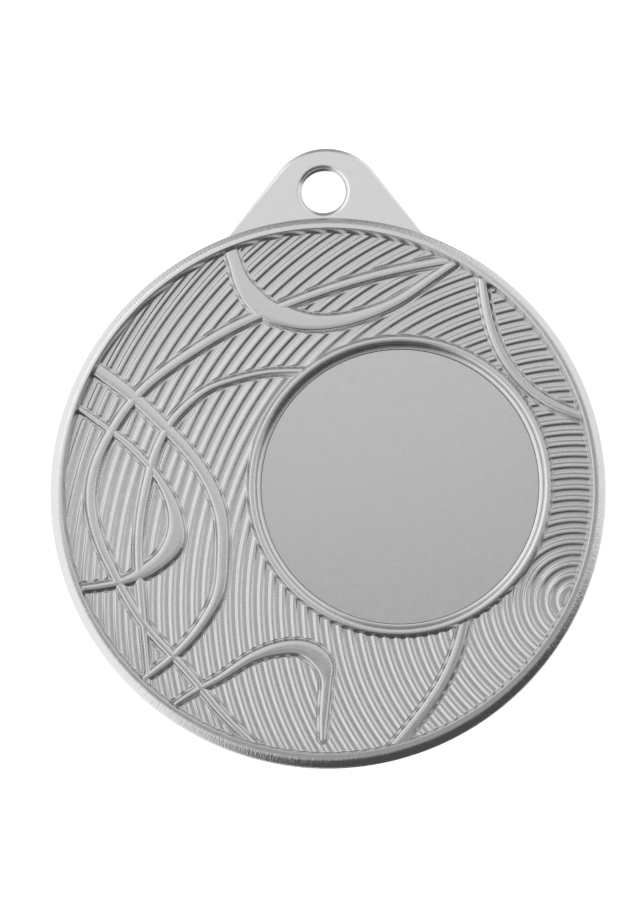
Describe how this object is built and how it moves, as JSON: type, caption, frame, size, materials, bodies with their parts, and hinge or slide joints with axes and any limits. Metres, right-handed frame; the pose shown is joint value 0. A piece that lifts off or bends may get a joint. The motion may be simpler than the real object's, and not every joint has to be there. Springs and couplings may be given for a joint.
{
  "type": "award medal",
  "caption": "Round metal award medal with a flat ribbon lug, a rounded rim, raised curved bands over concentric ribs and a seat for a 25 mm emblem.",
  "frame": {"origin": "centre of the medal's round flat back face", "axes": "+Z out of the decorated front face, +Y towards the ribbon lug, +X to the right when the front is seen with the lug up"},
  "size_m": [0.05, 0.0564, 0.0025],
  "materials": {
    "struck_metal": "satin nickel-plated zinc, fine grain, brighter worn edges",
    "satin_metal": "even satin",
    "adhesive_film": "thin cloudy film"
  },
  "bodies": {
    "root": {"medal_body": "struck_metal", "centre_adhesive": "adhesive_film", "centre_disc": "satin_metal"}
  },
  "joints": []
}
